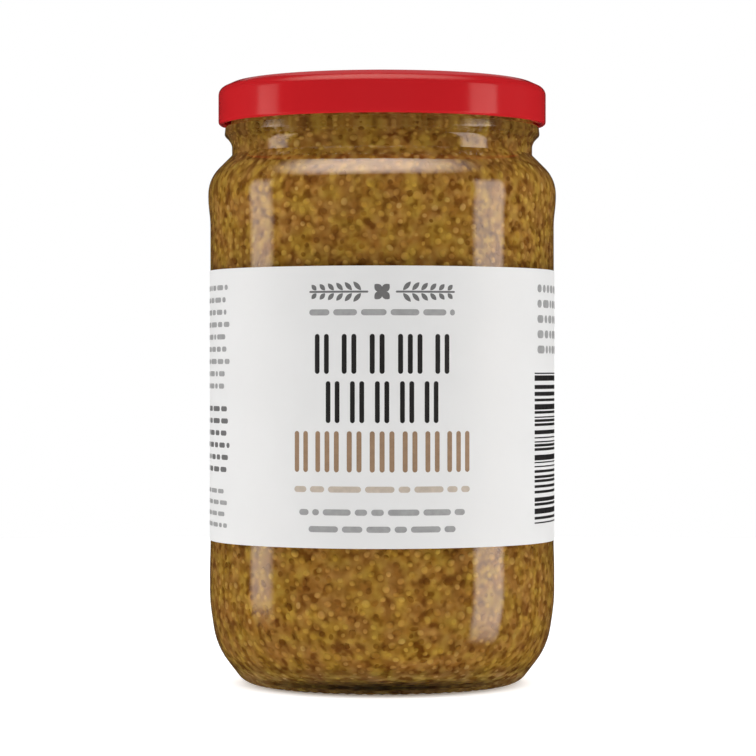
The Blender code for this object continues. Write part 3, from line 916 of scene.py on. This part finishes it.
# The studio: a pale table that glows from below, with a painted shadow under the jar, a room that is white
# to look at and dim in reflections, soft boxes that only the glossy pieces mirror, and a broad ceiling
# light with a smaller one on each of four sides.

TABLE_RADIUS = 0.7
# No glow under the jar and just round its foot, as a painted contact shadow
GLOW_AND_PAINTED_SHADOW = [(0.325, 0.0), (0.44, 0.58), (0.55, 0.58), (1.0, 0.36)]  # how far off, of 100 mm, and how strong

table_mesh = bpy.data.meshes.new("table")
disc = bmesh.new()
bmesh.ops.create_circle(disc, cap_ends=True, radius=TABLE_RADIUS, segments=96)
disc.to_mesh(table_mesh)
disc.free()
table = bpy.data.objects.new("table", table_mesh)
table.location.z = -0.2 * MM
table.visible_glossy = False  # so that the glass and the lid keep dark lower edges
bpy.context.scene.collection.objects.link(table)
table_top, table_tree, table_shader = finish(
    "light table with painted shadow", (0.93, 0.93, 0.93), 1.0,
    Specular_IOR_Level=0.0, Emission_Color=(1.0, 1.0, 1.0, 1.0),
)
# It glows from below, most of all round the jar's foot. Under the jar its colour goes near black and its
# glow stops until just outside the foot: a painted contact shadow, a little narrower to the sides
oval = product(table_tree, node(table_tree, "ShaderNodeTexCoord").outputs["Object"], (1.08, 1.0, 1.0))
off_axis = length_of(table_tree, oval)
share = reckoned(table_tree, "DIVIDE", off_axis, 100 * MM)
dressed(
    table_tree, table_shader,
    Emission_Strength=ramp(table_tree, share, [(off, (level,) * 3) for off, level in GLOW_AND_PAINTED_SHADOW], "EASE"),
    Base_Color=stretched(table_tree, off_axis, 22 * MM, 31 * MM, 0.05, 0.93),
    Roughness=placed(table_tree, DRIFT, Scale=4.0, Detail=2.0, From=0.95, To=1.0),
)
table_mesh.materials.append(table_top)

room = bpy.data.worlds.new("room")
room.use_nodes = True
bpy.context.scene.world = room
room_tree = room.node_tree
room_ray = node(room_tree, "ShaderNodeLightPath").outputs
in_mirrors = room_tree.nodes["Background"]
in_mirrors.inputs["Color"].default_value = (0.015, 0.015, 0.015, 1.0)
lighting = node(room_tree, "ShaderNodeBackground", {"Color": (0.15, 0.15, 0.15, 1.0)}).outputs[0]
seen = node(room_tree, "ShaderNodeBackground", {"Color": (1.0, 1.0, 1.0, 1.0)}).outputs[0]
unseen = mixed(room_tree, room_ray["Is Diffuse Ray"], in_mirrors.outputs[0], lighting)
whole = mixed(room_tree, room_ray["Is Camera Ray"], unseen, seen)
room_tree.links.new(whole, room_tree.nodes["World Output"].inputs["Surface"])


def lamp(name, place, size, aim, radiance, mirrored, colour=(1.0, 1.0, 1.0), soft=0.0, round_off=False):
    """A flat soft box that the camera doesn't see. It is only mirrored, or it only lights up surfaces.
    soft is the share of its half width over which it fades out to its sides and ends, or, where it is
    rounded off, to its oval outline."""
    data = bpy.data.lights.new(name, "AREA")
    data.shape = "RECTANGLE"
    data.size, data.size_y = size
    data.color = colour
    data.energy = radiance * math.pi * size[0] * size[1]
    obj = bpy.data.objects.new(name, data)
    obj.location = place
    obj.rotation_euler = (Vector(aim) - Vector(place)).to_track_quat("-Z", "Y").to_euler()
    obj.visible_camera = False
    obj.visible_transmission = False
    obj.visible_glossy = mirrored
    obj.visible_diffuse = not mirrored
    bpy.context.scene.collection.objects.link(obj)
    if soft:
        data.use_nodes = True
        tree = data.node_tree
        on_face = node(tree, "ShaderNodeNewGeometry").outputs["Parametric"]
        off_centre = {0: on_face, 1: (2.0, 2.0, 0.0), 2: (-1.0, -1.0, 0.0)}
        off_centre = node(tree, "ShaderNodeVectorMath", off_centre, operation="MULTIPLY_ADD").outputs[0]
        if round_off:
            offs = [length_of(tree, off_centre)]
        else:
            across = node(tree, "ShaderNodeSeparateXYZ", {0: off_centre}).outputs
            offs = [reckoned(tree, "ABSOLUTE", across[axis]) for axis in (0, 1)]
        strength = 1.0
        for off in offs:
            fall = stretched(tree, off, 1.0 - soft, 1.0, 1.0, 0.0, interpolation_type="SMOOTHSTEP")
            strength = reckoned(tree, "MULTIPLY", strength, fall)
        tree.links.new(strength, tree.nodes["Emission"].inputs["Strength"])


def round_place(azimuth, distance, height):
    """A place seen from the jar's axis at this many degrees round from the front, to the right."""
    turn = math.radians(azimuth)
    return (distance * math.sin(turn), -distance * math.cos(turn), height)


WARM = (1.0, 0.87, 0.78)
WARMER = (1.0, 0.83, 0.715)
lamp("left strip", round_place(-80.0, 0.25, 0.09), (0.104, 0.29), (0, 0, 0.09), 3.7, True, WARM, 0.55)
lamp("right strip", round_place(69.0, 0.25, 0.065), (0.12, 0.33), (0, 0, 0.065), 4.75, True, WARM, 0.4)
lamp(
    "overhead box", (-0.07, -0.24, 0.52), (1.2, 0.84), (-0.07, -0.24, 0.0), 9.1, True,
    WARMER, soft=0.8, round_off=True,
)
lamp("back box", (0.0, 0.8, 0.75), (0.36, 0.7), (0.0, -0.04, 0.156), 0.33, True)
lamp("ceiling", (0.0, 0.0, 1.3), (2.4, 2.4), (0, 0, 0), 1.16, False)
lamp("front fill", (0.0, -1.3, 0.5), (1.0, 1.0), (0, 0, 0.08), 0.78, False)
lamp("left fill", round_place(-105.0, 1.2, 0.3), (0.8, 0.8), (0, 0, 0.08), 2.6, False)
lamp("right fill", round_place(105.0, 1.2, 0.3), (0.8, 0.8), (0, 0, 0.08), 2.6, False)
lamp("back fill", (0.0, 1.3, 0.5), (1.0, 1.0), (0, 0, 0.08), 1.2, False)

# The camera: a long lens 0.8 m in front of the jar's axis, about as high as the middle of the jar
# and aimed at it almost level.

camera = bpy.data.objects.new("camera", bpy.data.cameras.new("camera"))
camera.data.sensor_width = 36.0
camera.data.lens = 145.4
camera.location = (0.0, -0.8, 0.0813)
aim = Vector((-0.00107, 0.0, 0.07948))
camera.rotation_euler = (aim - camera.location).to_track_quat("-Z", "Y").to_euler()
bpy.context.scene.collection.objects.link(camera)
bpy.context.scene.camera = camera
bpy.context.scene.view_settings.view_transform = "Standard"
bpy.context.scene.view_settings.look = "None"
